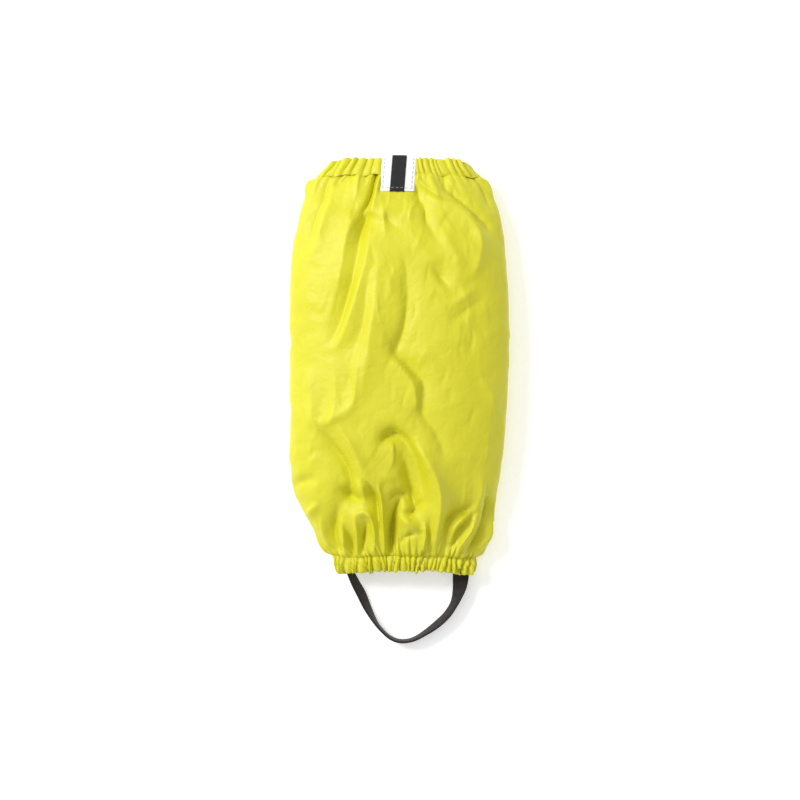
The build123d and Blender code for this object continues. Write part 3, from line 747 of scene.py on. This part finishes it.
def settle(points, faces):
    """Lets the panel find its own crumples: a cloth as large as the real cut, sewn to the
    gathered hems and held loosely to its folds, buckles where it has cloth to spare."""
    scene = bpy.context.scene
    cloth = new_piece("cloth", points.reshape(-1, 3), faces, POLYESTER)
    held = cloth.vertex_groups.new(name="held")
    spare = cloth.vertex_groups.new(name="spare")
    for row, share in enumerate(ROW_SHARE):
        from_end = min(share, 1 - share) * (PANEL_HIGH - PANEL_LOW)
        sewn = from_end <= TUCK + 0.3
        ring = list(range(row * COLUMNS, (row + 1) * COLUMNS))
        held.add(ring, 1.0 if sewn else HOLD, "REPLACE")
        spare.add(ring, float(smoothstep(*SPARE_REACH, from_end)), "REPLACE")
    sim = cloth.modifiers.new("Cloth", "CLOTH")
    fabric = sim.settings
    fabric.quality, fabric.mass = 5, 0.002
    fabric.tension_stiffness = fabric.compression_stiffness = 20
    fabric.shear_stiffness, fabric.bending_stiffness = 6, 0.012
    fabric.tension_damping = fabric.compression_damping = 0.6
    fabric.vertex_group_mass, fabric.vertex_group_shrink = "held", "spare"
    fabric.shrink_min, fabric.shrink_max = -SPARE_MIDDLE, -SPARE_ENDS
    fabric.pin_stiffness = 1.0
    fabric.effector_weights.gravity = 0
    sim.collision_settings.use_collision = False
    sim.point_cache.frame_start, sim.point_cache.frame_end = 1, SETTLE_FRAMES
    for number in range(1, SETTLE_FRAMES + 1):
        scene.frame_set(number)
    settled = cloth.evaluated_get(bpy.context.evaluated_depsgraph_get()).to_mesh()
    out = np.zeros(len(settled.vertices) * 3, np.float32)
    settled.vertices.foreach_get("co", out)
    scene.frame_set(1)
    mesh = cloth.data
    bpy.data.objects.remove(cloth)
    bpy.data.meshes.remove(mesh)
    out = out.reshape(points.shape).astype(float) / MM
    moved = out - points
    for _ in range(SETTLE_BLUR):
        moved = (np.roll(moved, 1, 1) + 2 * moved + np.roll(moved, -1, 1)) / 4
        inner = (moved[:-2] + 2 * moved[1:-1] + moved[2:]) / 4
        moved = np.concatenate([moved[:1], inner, moved[-1:]])
    size = np.linalg.norm(moved, axis=2, keepdims=True)
    moved *= np.minimum(1, SETTLE_CAP / np.maximum(size, 1e-6))
    out = points + moved
    out[..., 2] = np.maximum(out[..., 2], RESTS)
    return out


panel_points = shape_panel()
panel_faces = [face[::-1] for face in grid_faces(ROWS, COLUMNS, closed=True)]
panel_points = settle(panel_points, panel_faces)
leg_fabric = new_piece("leg_fabric", panel_points.reshape(-1, 3), panel_faces, POLYESTER)
panel_u = np.tile(column_share * CUT_WIDTH, ROWS)
panel_v = np.repeat(ROW_SHARE * CUT_LENGTH, COLUMNS)
lay_uv(leg_fabric, panel_u, panel_v)
thicken(leg_fabric, FABRIC)
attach(leg_fabric, "gaiter")
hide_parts("leg_panel")

# ---- hems: the fabric turned in round each elastic ------------------------------------------------

HEM_DEPTH = 10                      # about how deep both hems are
# Section of a turned hem: share of its depth from seam to edge, and distance off the leg.
HEM_SECTION = (
    (-0.05, -0.4), (0.03, 0.0), (0.12, 0.15), (0.3, 0.7), (0.55, 0.85), (0.8, 0.55),
    (0.95, -0.1), (1.02, -1.2), (0.97, -2.3), (0.8, -2.8), (0.5, -3.0), (0.25, -2.7),
    (0.1, -1.7), (0.0, -1.5),
)


def hem_row(end, share_of_depth, stand_off, ruffle_amount, edge_push, columns=HEM_COLUMNS):
    """One ring of a hem, at a share of its depth from the seam and a distance off the leg.
    Its ruffles are lower at the hem's sides and where it lies on the surface."""
    seam, edge = (TOP_SEAM_Y, KNEE_Y) if end == "top" else (BOTTOM_SEAM_Y, FOOT_Y)
    y = seam + (edge - seam) * share_of_depth
    shares = np.arange(columns) / columns
    ring, outward = leg_form([y], shares)
    ring, outward = ring[0], outward[0]
    ruffle = RUFFLES[end].rise(shares, share_of_depth)
    if end == "bottom":
        crossing = CROSSING.rise(shares, share_of_depth)
        ruffle = ruffle + crossing * (0.35 + 0.65 * share_of_depth)
    pressed = under_tab(ring) if end == "top" else 0
    ruffle = ruffle * (1 - 0.8 * pressed)
    on_floor = smoothstep(0.0, 3.0, ring[:, 2]) * 0.75 + 0.25
    on_side = 1 - 0.5 * smoothstep(0.6, 0.95, np.abs(outward[:, 0]))
    offset = stand_off + ruffle * ruffle_amount * on_floor * on_side
    moved = ring + outward * offset[:, None]
    moved[:, 1] += side_slope(ring, end == "top", min(max(share_of_depth, 0), 1))
    moved[:, 1] += np.sign(edge - seam) * ruffle * edge_push
    moved[:, 2] = np.maximum(moved[:, 2], RESTS)
    return moved


def make_hem(end):
    """A turned hem: an open sheet that goes up the outside, over the edge and down inside."""
    section = smooth_curve(HEM_SECTION, 6)
    step = np.hypot(np.diff(section[:, 0] * HEM_DEPTH), np.diff(section[:, 1]))
    length = np.concatenate([[0], np.cumsum(step)])
    at = np.linspace(0, length[-1], HEM_ROWS)
    depth = np.interp(at, length, section[:, 0])
    off = np.interp(at, length, section[:, 1])
    rows = []
    for share, stand_off in zip(depth, off):
        outer = smoothstep(-1.6, -0.6, stand_off)
        swell = np.sin(pi * min(max(share, 0), 1) * 0.62 + 0.1)
        amount = (0.45 + 0.55 * swell) * (2 * outer - 1)
        push = 0.55 * smoothstep(0.7, 1.02, share)
        rows.append(hem_row(end, share, stand_off, amount, push))
    points = np.array(rows)
    faces = grid_faces(HEM_ROWS, HEM_COLUMNS, closed=True)
    if end == "top":
        faces = [face[::-1] for face in faces]
    hem = new_piece(f"{end}_casing", points.reshape(-1, 3), faces, POLYESTER)
    lay_uv(hem, np.tile(np.arange(HEM_COLUMNS) / HEM_COLUMNS * CUT_WIDTH, HEM_ROWS),
           np.repeat(at / at[-1] * HEM_CUTS[end], HEM_COLUMNS))
    thicken(hem, FABRIC)
    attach(hem, "gaiter")
    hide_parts(f"{end}_hem")


ELASTIC_CUT = 230                   # length of each elastic, which gathers the wider panel


def make_elastic(end):
    """The flat elastic that runs round inside a hem."""
    columns = HEM_COLUMNS // 4
    section = ((0.2, -0.55), (0.85, -0.75), (0.85, -1.65), (0.2, -1.55))
    points = np.array([hem_row(end, share, off, 0.0, 0.0, columns) for share, off in section])
    a = np.arange(columns)
    faces = []
    for k in range(4):
        low, high = k * columns, (k + 1) % 4 * columns
        strip = np.stack([low + a, low + (a + 1) % columns, high + (a + 1) % columns, high + a], 1)
        faces += strip.tolist() if end == "bottom" else strip[:, ::-1].tolist()
    band = new_piece(f"{end}_hem_elastic", points.reshape(-1, 3), faces, HEM_ELASTIC)
    lay_uv(band, np.tile(a / columns * ELASTIC_CUT, 4), np.repeat([0, 7, 8, 15], columns))
    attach(band, "gaiter")
    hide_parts(f"{end}_elastic")


for end in ("top", "bottom"):
    make_hem(end)
    make_elastic(end)

# ---- stitches --------------------------------------------------------------------------------


def select_nothing():
    """Leaves nothing selected, so that an operator acts only on what is picked next."""
    for picked in bpy.context.selected_objects:
        picked.select_set(False)


def stitch_mesh():
    """One stitch: a short thread that dives into the cloth at both ends, along +X."""
    select_nothing()
    bpy.ops.mesh.primitive_uv_sphere_add(segments=6, ring_count=6, radius=0.5)
    one = bpy.context.object
    mesh = one.data.copy()
    bpy.data.objects.remove(one)
    points = np.array([v.co for v in mesh.vertices])
    points = np.stack([points[:, 2], points[:, 0], points[:, 1]], 1)
    faces = [list(p.vertices) for p in mesh.polygons]
    bpy.data.meshes.remove(mesh)
    return points, faces


STITCH_POINTS, STITCH_FACES = stitch_mesh()


def sew(name, places, material, nodes, thread=THREAD):
    """Many stitches as one piece. places are (middle, run, up), the run as long as a stitch."""
    points, faces = [], []
    for middle, run, up in places:
        middle, run, up = (np.array(v, float) for v in (middle, run, up))
        side = np.cross(up, run)
        side /= np.linalg.norm(side)
        up = np.cross(run, side)
        up /= np.linalg.norm(up)
        first = len(points) * len(STITCH_POINTS)
        points.append(middle + STITCH_POINTS[:, :1] * run + STITCH_POINTS[:, 1:2] * side * thread
                      + STITCH_POINTS[:, 2:] * up * thread)
        faces += [[first + i for i in face] for face in STITCH_FACES]
    piece = new_piece(name, np.concatenate(points), faces, material)
    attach(piece, "gaiter")
    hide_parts(*nodes)
    return piece


STITCH_FLOOR = 0.5                  # no hem stitches lower, where the leg lies on the surface


def hem_stitches(end):
    """A row of stitches round a hem, along its seam."""
    line = hem_row(end, 0.085, 0.3, 0.5, 0.0)
    above = hem_row(end, 0.16, 0.3, 0.5, 0.0)
    step = np.linalg.norm(np.roll(line, -1, 0) - line, axis=1)
    length = np.concatenate([[0], np.cumsum(step)])
    closed = np.concatenate([line, line[:1]])
    count = int(length[-1] / STITCH_PITCH)
    places = []
    for i in range(count):
        at = np.array([i, i + STITCH / STITCH_PITCH]) * length[-1] / count
        ends = np.stack([np.interp(at, length, closed[:, k]) for k in range(3)], 1)
        near = int(np.searchsorted(length, at[0])) % HEM_COLUMNS
        run = ends[1] - ends[0]
        up = np.cross(run, above[near] - line[near]) * (1 if end == "top" else -1)
        if ends[:, 2].min() > STITCH_FLOOR:
            places.append((ends.mean(0), run, up))
    piece = sew(f"{end}_seam_stitches", places, YELLOW_THREAD, [f"{end}_hem_stitching"])


for end in ("top", "bottom"):
    hem_stitches(end)

SEAM_ROW = 3.0                      # each row of back stitches lies this far from the seam
back_low, back_high = BOTTOM_SEAM_Y + 8, TOP_SEAM_Y - 8
back_rows = [((side * SEAM_ROW, y, 0.1), (0, STITCH, 0), (0, 0, 1))
             for side in (-1, 1) for y in np.arange(back_low, back_high, STITCH_PITCH)]
back_stitches = sew("back_seam_stitches", back_rows, YELLOW_THREAD, ["back_seam_stitching"],
                    thread=0.18)


SEALING_WIDTH = 20.0


def make_seam_tape():
    """The sealing tape over the back seam, inside the leg."""
    rows, columns = 60, 9
    y = np.linspace(back_low, back_high, rows)
    x = np.linspace(-SEALING_WIDTH / 2, SEALING_WIDTH / 2, columns)
    grid_y, grid_x = np.meshgrid(y, x, indexing="ij")
    z = 0.9 + 0.12 * np.sin(grid_y / 9) * np.cos(grid_x / 5)
    points = np.stack([grid_x, grid_y, z], -1).reshape(-1, 3)
    tape = new_piece("seam_sealing_tape", points, grid_faces(rows, columns, False), SEAM_TAPE)
    lay_uv(tape, grid_x.ravel(), grid_y.ravel())
    thicken(tape, 0.2, offset=1)
    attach(tape, "gaiter")
    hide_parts("back_seam_tape")


make_seam_tape()

# ---- tab: reflective tape with a ribbon down its middle, folded over the top hem -------------------

TAB_LOW = 145.0
TAPE, RIBBON = 0.45, 0.5            # thickness of each
RIBBON_WIDTH = 10.0
TAB_MARGIN = 2.0
TAB_ROWS = 110
TAB_LIFTS = (                       # how far the tab stands off the leg's plain form
    (145, 1.2), (148.5, 1.2), (152, 1.3), (156, 1.8), (160, 2.1), (164, 2.1), (167.4, 1.5),
)


def front_height(y):
    """How high the front of the leg stands at a height of it."""
    return smooth_table(LEG_OUTLINE, np.atleast_1d(np.array(y, float)))[0, 2]


def tab_path():
    """The folded tab in side view: up the front, over the hem's edge and back inside it."""
    front = [(y, front_height(y) + lift) for y, lift in TAB_LIFTS]
    edge = front[-1][1]
    turn = [(170.0, edge - 1.6), (170.6, edge - 3.2), (169.4, edge - 4.6)]
    inside = [(y, front_height(y) - 4.2) for y in (166, 161.5, 157.5)]
    return smooth_curve(front + turn + inside, 8)


TAB_PATH = tab_path()
TAB_LENGTH = np.linalg.norm(np.diff(TAB_PATH, axis=0), axis=1).sum()


TAB_CROWN = 0.0022                  # the tab's sides lie lower, by this much times across squared
TAB_SKEW = 0.0126                   # its ends are not quite square


def tab_place(across, share):
    """A point on the tab's face and its outward direction, at millimetres across and a
    share of the way along it."""
    at = np.clip(share, 0, 1) * (len(TAB_PATH) - 1)
    i = np.clip(at.astype(int), 0, len(TAB_PATH) - 2)
    t = (at - i)[..., None]
    here = TAB_PATH[i] * (1 - t) + TAB_PATH[i + 1] * t
    run = TAB_PATH[i + 1] - TAB_PATH[i]
    run /= np.linalg.norm(run, axis=-1, keepdims=True)
    outward = np.stack([np.zeros_like(at), -run[..., 1], run[..., 0]], -1)
    x = TAB_X + TAB_LEAN * (here[..., 0] - 157.5) + across
    sag = TAB_CROWN * across**2
    point = np.stack([x, here[..., 0] - TAB_SKEW * across, here[..., 1]], -1)
    return point - outward * sag[..., None], outward


def tab_band(name, width, lift, thickness, low, material, columns, ragged=0.0):
    """One layer of the tab, whose cut lower end may be ragged. A clean edge curls down."""
    rng = np.random.default_rng(31)
    across = np.linspace(-width / 2, width / 2, columns)
    share = np.linspace(0, 1, TAB_ROWS)
    grid_share, grid_across = np.meshgrid(share, across, indexing="ij")
    points, outward = tab_place(grid_across, grid_share)
    edge_curl = 0.16 * smoothstep(width / 2 - 1.5, width / 2, np.abs(grid_across))
    points = points + outward * (lift - edge_curl[..., None] * (1 if ragged == 0 else 0))
    points[0, :, 1] -= TAB_LOW - low + ragged * rng.uniform(-1, 1, columns)
    faces = grid_faces(TAB_ROWS, columns, False)
    band = new_piece(name, points.reshape(-1, 3), faces, material)
    lay_uv(band, grid_across.ravel() + width, grid_share.ravel() * TAB_LENGTH)
    thicken(band, thickness)
    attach(band, "gaiter")
    return band


tape = tab_band("reflective_tab", TAB_WIDTH, 0.0, TAPE, TAB_LOW, REFLECTIVE, 25)
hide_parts("reflective_tape")
ribbon = tab_band("tab_grosgrain", RIBBON_WIDTH, RIBBON, RIBBON, TAB_LOW - 0.8, GROSGRAIN, 21,
                  ragged=0.25)
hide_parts("tab_ribbon")

SIDE_STITCHES, HALF_END_STITCHES = 8, 3
ON_TAPE = 0.05                      # how far the tab's stitches stand off the tape


def tab_stitches():
    """Stitches down both sides of the tape and across its lower end, over the ribbon."""
    places = []
    edge = TAB_WIDTH / 2 - TAB_MARGIN
    share_per_mm = 1 / TAB_LENGTH
    half = STITCH / 2 * share_per_mm
    for side in (-edge, edge):
        for i in range(SIDE_STITCHES):
            share = (TAB_MARGIN + (i + 0.5) * STITCH_PITCH) * share_per_mm
            ends, outward = tab_place(np.full(2, side), np.array([share - half, share + half]))
            places.append((ends.mean(0) + outward[0] * ON_TAPE, ends[1] - ends[0], outward[0]))
    for i in range(-HALF_END_STITCHES, HALF_END_STITCHES + 1):
        across = i * STITCH_PITCH
        lift = RIBBON + ON_TAPE if abs(across) < RIBBON_WIDTH / 2 else ON_TAPE
        ends, outward = tab_place(np.array([across - STITCH / 2, across + STITCH / 2]),
                                  np.full(2, TAB_MARGIN * share_per_mm))
        places.append((ends.mean(0) + outward[0] * lift, ends[1] - ends[0], outward[0]))
    piece = sew("tab_stitches", places, GREY_THREAD, ["tab_stitching"], thread=0.42)


tab_stitches()

# ---- understrap: flat elastic, on edge under the boot -----------------------------------------------

STRAP_WIDTH, STRAP = 11.5, 1.4      # STRAP is its thickness
HINGE_Y, HINGE_Z = FOOT_Y - 2.0, 8.8
STRAP_FLOOR_Y = -148.0              # beyond this it lies on the surface

# The strap's middle line, (x, y) and the degrees that its flat side is turned up on edge.
END_LEFT = ((-31.0, -107.5, 16), (-31.6, -113.0, 20), (-32.0, -118.0, 38), (-34.5, -121.5, 66))
LEG_LEFT = ((-34.5, -121.5, 66), (-31.7, -128.5, 64), (-27.0, -137.5, 60), (-22.8, -147.0, 68),
            (-17.2, -157.2, 82))
SOLE = ((-17.2, -157.2, 82), (-12.5, -163.0, 86), (-7.0, -167.8, 86), (-1.0, -170.2, 86),
        (5.2, -170.2, 86), (10.7, -168.6, 84), (17.0, -165.0, 80))
LEG_RIGHT = ((17.0, -165.0, 80), (25.0, -159.4, 72), (33.0, -152.0, 70), (38.4, -143.5, 66),
             (41.6, -134.0, 42), (42.6, -127.5, 20), (42.8, -121.5, 8))
END_RIGHT = ((42.8, -121.5, 8), (42.0, -117.5, 5), (41.6, -107.5, 2))
STRAP_STEPS = 10
STRAP_ROUTE = END_LEFT[:-1] + LEG_LEFT[:-1] + SOLE[:-1] + LEG_RIGHT[:-1] + END_RIGHT


def strap_frame():
    """The strap's middle line all the way round, with its directions across and through."""
    line = smooth_curve(STRAP_ROUTE, STRAP_STEPS)
    x, y, tilt = line[:, 0], line[:, 1], np.radians(line[:, 2])
    on_edge = STRAP_WIDTH / 2 * np.sin(tilt) + STRAP / 2 * np.cos(tilt)
    rise = np.clip((y - STRAP_FLOOR_Y) / (HINGE_Y - STRAP_FLOOR_Y), 0, 1)
    rise = smoothstep(0, 1, rise) * 0.6 + rise * 0.4
    z = on_edge + np.maximum(HINGE_Z - on_edge, 0) * rise + 0.1
    middle = np.stack([x, y, z], 1)
    run = np.gradient(middle, axis=0)
    run[:, 2] *= 0.5
    run /= np.linalg.norm(run, axis=1, keepdims=True)
    outward = np.cross(run, (0, 0, 1))
    outward /= np.linalg.norm(outward, axis=1, keepdims=True)
    across = outward * np.cos(tilt)[:, None] + np.array([0, 0, 1]) * np.sin(tilt)[:, None]
    through = np.cross(across, run)
    return middle, across, through / np.linalg.norm(through, axis=1, keepdims=True)


STRAP_MIDDLE, STRAP_ACROSS, STRAP_THROUGH = strap_frame()
strap_steps = np.linalg.norm(np.diff(STRAP_MIDDLE, axis=0), axis=1)
STRAP_LENGTH = np.concatenate([[0], np.cumsum(strap_steps)])


def fix_normals(piece):
    """Turns a closed piece's faces outwards and keeps its cut ends sharp."""
    select_nothing()
    bpy.context.view_layer.objects.active = piece
    piece.select_set(True)
    bpy.ops.object.mode_set(mode="EDIT")
    bpy.ops.mesh.select_all(action="SELECT")
    bpy.ops.mesh.normals_make_consistent(inside=False)
    bpy.ops.object.mode_set(mode="OBJECT")
    bpy.ops.object.shade_smooth_by_angle(angle=radians(60))
    piece.select_set(False)


SELVEDGE, SELVEDGE_THINNER = 1.2, 0.06      # its woven edges are a little thinner


def strap_piece(name, first, last, nodes):
    """A length of the strap from one step of its line to another, closed at both ends."""
    half, thick, lip = STRAP_WIDTH / 2, STRAP / 2, 0.45
    flat = np.linspace(-half + lip, half - lip, 9)
    face = [(w, thick - SELVEDGE_THINNER * (abs(w) > half - SELVEDGE)) for w in flat]
    corner_w, corner_t = half - 0.12, thick * 0.55
    section = face + [(corner_w, corner_t), (half, 0), (corner_w, -corner_t)]
    section += [(w, -t) for w, t in reversed(face)]
    section += [(-corner_w, -corner_t), (-half, 0), (-corner_w, corner_t)]
    w, t = np.array(section).T
    rows = range(first, last + 1)
    points = np.array([
        STRAP_MIDDLE[i] + np.outer(w, STRAP_ACROSS[i]) + np.outer(t, STRAP_THROUGH[i])
        for i in rows
    ])
    around = len(section)
    faces = grid_faces(len(rows), around, closed=True)
    last_ring = around * (len(rows) - 1)
    faces += [list(range(around)), list(range(last_ring, last_ring + around))[::-1]]
    piece = new_piece(name, points.reshape(-1, 3), faces, STRAP_ELASTIC)
    girth = np.concatenate([[0], np.cumsum(np.hypot(np.diff(w), np.diff(t)))])
    lay_uv(piece, np.tile(girth, len(rows)), np.repeat(STRAP_LENGTH[first : last + 1], around))
    fix_normals(piece)
    if nodes:
        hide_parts(*nodes)
    return piece


def step_of(point):
    """The step of the strap's line at a point of its route."""
    return STRAP_ROUTE.index(point) * STRAP_STEPS


# Steps of the line where a leg leaves its sewn end, where it bends, and where the sole starts.
HINGE_LEFT, HINGE_RIGHT = step_of(LEG_LEFT[0]), step_of(END_RIGHT[0])
KNEE_LEFT, KNEE_RIGHT = step_of(LEG_LEFT[2]), step_of(LEG_RIGHT[3])
SOLE_LEFT, SOLE_RIGHT = step_of(SOLE[0]), step_of(LEG_RIGHT[0])

end_left = strap_piece("strap_sewn_left", 0, HINGE_LEFT, ["strap_end_left"])
end_right = strap_piece("strap_sewn_right", HINGE_RIGHT, len(STRAP_MIDDLE) - 1,
                        ["strap_end_right"])
for sewn in (end_left, end_right):
    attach(sewn, "gaiter")
sole = strap_piece("strap_under_boot", SOLE_LEFT, SOLE_RIGHT, ["strap_sole"])
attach(sole, "strap_under")
for side, knee, hinge, end in (("left", KNEE_LEFT, HINGE_LEFT, SOLE_LEFT),
                               ("right", KNEE_RIGHT, HINGE_RIGHT, SOLE_RIGHT)):
    upper = strap_piece(f"strap_upper_{side}", *sorted((hinge, knee)), [f"strap_leg_{side}"])
    lower = strap_piece(f"strap_lower_{side}", *sorted((knee, end)), [])
    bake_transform(upper)
    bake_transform(lower)

# ---- bartacks: dense zigzag stitches through the strap's ends ------------------------------------


BARTACK_PITCH = 0.42


def make_bartack(side, x, length):
    """A bartack of close zigzag threads lying on the front of the bottom hem."""
    y = FOOT_Y + 6.0
    top = hem_row("bottom", 0.35, 1.5, 0.3, 0.0)
    front = top[top[:, 2] > FRONT_Z]
    places = []
    count = int(length / BARTACK_PITCH)
    for i in range(count):
        at = x + (i - (count - 1) / 2) * BARTACK_PITCH
        z = front[np.abs(front[:, 0] - at).argmin(), 2]
        lean = 0.25 if i % 2 else -0.25
        places.append(((at, y, z), (lean, 1.7, 0), (0, 0, 1)))
    piece = sew(f"bartack_threads_{side}", places, YELLOW_THREAD, [f"bartack_{side}"], thread=0.5)


make_bartack("left", -33.0, 5.0)
make_bartack("right", 42.4, 8.0)

# ---- stage -------------------------------------------------------------------------------------

# bright white paper, lit a little from behind so that shadows on it stay faint
floor_material, _, floor_shader = new_material("white studio paper", "#fdfdfd", 0.9)
floor_shader.inputs["Emission Color"].default_value = (1, 1, 1, 1)
floor_shader.inputs["Emission Strength"].default_value = 0.3
bpy.ops.mesh.primitive_plane_add(size=12, location=(0, 0, -0.0004))
floor = bpy.context.object
floor.name = "floor"
floor.data.materials.append(floor_material)

# the camera looks straight down from far off
LENS, SENSOR = 100.0, 36.0
FRAME_SPAN = 0.560                  # metres across the frame at the leg's middle height
camera_data = bpy.data.cameras.new("camera")
camera_data.lens, camera_data.sensor_width = LENS, SENSOR
camera_data.clip_end = 20
camera = bpy.data.objects.new("camera", camera_data)
camera.location = (0, -0.0003, FRAME_SPAN * LENS / SENSOR + 0.018)
bpy.context.scene.collection.objects.link(camera)
bpy.context.scene.camera = camera


def area_light(name, place, aim, size, power):
    """A soft studio light that points at a place."""
    data = bpy.data.lights.new(name, "AREA")
    data.shape, data.size, data.energy = "DISK", size, power
    light = bpy.data.objects.new(name, data)
    light.location = place
    light.rotation_mode = "QUATERNION"
    light.rotation_quaternion = (Vector(aim) - Vector(place)).to_track_quat("-Z", "Y")
    bpy.context.scene.collection.objects.link(light)


# a soft key light from the upper left, and a weak one overhead
area_light("key", (-1.1, 0.72, 1.3), (0, 0, 0), 0.7, 23)
area_light("top", (-0.2, 0.4, 1.9), (0, 0, 0), 1.0, 3)
world = bpy.data.worlds.new("studio")
world.use_nodes = True
world.node_tree.nodes["Background"].inputs["Color"].default_value = (1, 1, 1, 1)
world.node_tree.nodes["Background"].inputs["Strength"].default_value = 0.60
bpy.context.scene.world = world
bpy.context.scene.view_settings.view_transform = "Standard"
